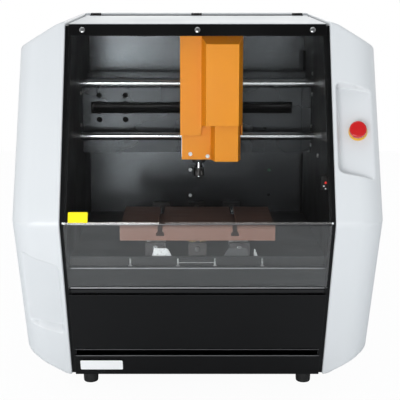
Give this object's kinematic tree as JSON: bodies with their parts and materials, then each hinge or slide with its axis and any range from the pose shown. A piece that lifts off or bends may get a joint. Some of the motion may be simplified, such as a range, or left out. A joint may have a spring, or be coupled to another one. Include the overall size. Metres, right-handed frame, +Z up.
{
  "type": "desktop cnc milling machine",
  "caption": "Enclosed desktop CNC mill with white side cowls, a hinged clear hood, an orange head on X rods, a brown T-slot table and a chip drawer.",
  "frame": {"origin": "on the ground under the middle of the machine's overall box", "axes": "+X to the operator's right, +Y to the back, +Z up"},
  "size_m": [0.782, 0.61, 0.8419],
  "materials": {
    "black_panel": "satin powder coat",
    "foot_rubber": "moulded rubber",
    "chamber_panel": "semi-gloss powder coat",
    "white_cowl": "smooth moulded shell",
    "white_lid": "white powder coat",
    "beam_paint": "satin powder coat",
    "ground_steel": "ground and polished",
    "screw_steel": "rolled thread",
    "machined_aluminium": "milled",
    "motor_black": "satin black",
    "dark_block": "satin black",
    "zinc_steel": "zinc plated",
    "black_steel": "black oxide",
    "black_plastic": "fine moulded texture",
    "board_green": "printed board",
    "yellow_plastic": "smooth",
    "red_plastic": "smooth",
    "clear_window": "clear sheet",
    "orange_paint": "orange powder coat",
    "brass_nut": "turned",
    "laminate": "brown fabric laminate, milled"
  },
  "bodies": {
    "frame": {"base_pan": "black_panel", "feet": "foot_rubber", "side_plate_left": "black_panel", "side_plate_right": "black_panel", "floor_pan": "chamber_panel", "lower_front_panel": "black_panel", "lower_rear_wall": "chamber_panel", "upper_rear_wall": "chamber_panel", "back_cover": "black_panel", "top_rear_cover": "white_lid", "cowl_left": "white_cowl", "cowl_right": "white_cowl", "x_beam": "beam_paint", "x_rods": "ground_steel", "x_rod_collars": "machined_aluminium", "x_motor_bracket": "machined_aluminium", "x_motor": "motor_black", "screw_bearings": "machined_aluminium", "y_rod_supports": "dark_block", "y_rods": "ground_steel", "y_motor": "motor_black", "drawer_runners": "zinc_steel", "power_inlet": "black_plastic", "power_supply": "zinc_steel", "control_board": "board_green", "door_switch": "black_plastic", "estop_collar": "yellow_plastic", "hinge_fixed_leaves": "black_steel", "hinge_pins": "ground_steel"},
    "hood": {"hinge_moving_leaves": "black_steel", "hood_lid": "white_lid", "hood_window": "clear_window", "hood_band": "black_panel", "hood_screws": "zinc_steel"},
    "drawer": {"drawer": "black_panel"},
    "table": {"work_table": "laminate", "y_saddle": "machined_aluminium", "y_bearings": "machined_aluminium", "y_nut": "brass_nut"},
    "x_carriage": {"x_carriage": "machined_aluminium", "x_bearings": "machined_aluminium", "x_nut_bracket": "machined_aluminium", "z_rods": "ground_steel", "z_rod_block": "machined_aluminium", "z_motor": "motor_black", "head_cover_upper": "orange_paint"},
    "z_slide": {"head_cover_lower": "orange_paint", "z_slide_plate": "machined_aluminium", "z_bearings": "machined_aluminium", "z_nut": "brass_nut", "spindle_housing": "motor_black"},
    "spindle": {"spindle_shaft": "ground_steel", "collet_nut": "black_steel", "collet": "ground_steel"},
    "x_screw": {"x_screw": "screw_steel"},
    "y_screw": {"y_screw": "screw_steel"},
    "z_screw": {"z_screw": "screw_steel"},
    "estop_stem": {"estop_stem": "black_plastic"},
    "estop_cap": {"estop_cap": "red_plastic"},
    "rocker": {"power_rocker": "black_plastic"}
  },
  "joints": [
    {"name": "hood_hinge", "type": "hinge", "parent": "frame", "child": "hood", "pos_m": [0, 0.221, 0.83736], "axis": [-1, 0, 0], "range_deg": [0, 80]},
    {"name": "drawer_slide", "type": "slide", "parent": "frame", "child": "drawer", "axis": [0, -1, 0], "range_m": [0, 0.26]},
    {"name": "x_slide", "type": "slide", "parent": "frame", "child": "x_carriage", "axis": [1, 0, 0], "range_m": [-0.22, 0.16]},
    {"name": "y_slide", "type": "slide", "parent": "frame", "child": "table", "axis": [0, 1, 0], "range_m": [-0.024, 0.19]},
    {"name": "z_slide", "type": "slide", "parent": "x_carriage", "child": "z_slide", "axis": [0, 0, 1], "range_m": [-0.08, 0.01]},
    {"name": "spindle_spin", "type": "hinge", "parent": "z_slide", "child": "spindle", "pos_m": [0.004, -0.071, 0.512], "axis": [0, 0, 1], "continuous": true},
    {"name": "x_screw_spin", "type": "hinge", "parent": "frame", "child": "x_screw", "pos_m": [0, 0.071, 0.622], "axis": [1, 0, 0], "continuous": true},
    {"name": "y_screw_spin", "type": "hinge", "parent": "frame", "child": "y_screw", "pos_m": [0, 0, 0.35], "axis": [0, 1, 0], "continuous": true},
    {"name": "z_screw_spin", "type": "hinge", "parent": "x_carriage", "child": "z_screw", "pos_m": [0.065, -0.061, 0.612], "axis": [0, 0, 1], "continuous": true},
    {"name": "estop_press", "type": "slide", "parent": "frame", "child": "estop_stem", "axis": [0.1564, 0.9164, -0.3684], "range_m": [0, 0.005]},
    {"name": "estop_twist", "type": "hinge", "parent": "estop_stem", "child": "estop_cap", "pos_m": [0.34007, -0.2131, 0.59916], "axis": [0.1564, 0.9164, -0.3684], "range_deg": [0, 45], "stiffness_Nm_per_rad": 0.02},
    {"name": "rocker_tilt", "type": "hinge", "parent": "frame", "child": "rocker", "pos_m": [-0.21, 0.294, 0.109], "axis": [1, 0, 0], "range_deg": [-8, 8]}
  ],
  "couplings": [
    {"joint": "x_screw_spin", "follows": "x_slide", "rad_per_m": 1256.6},
    {"joint": "y_screw_spin", "follows": "y_slide", "rad_per_m": 1256.6},
    {"joint": "z_screw_spin", "follows": "z_slide", "rad_per_m": 1570.8}
  ]
}
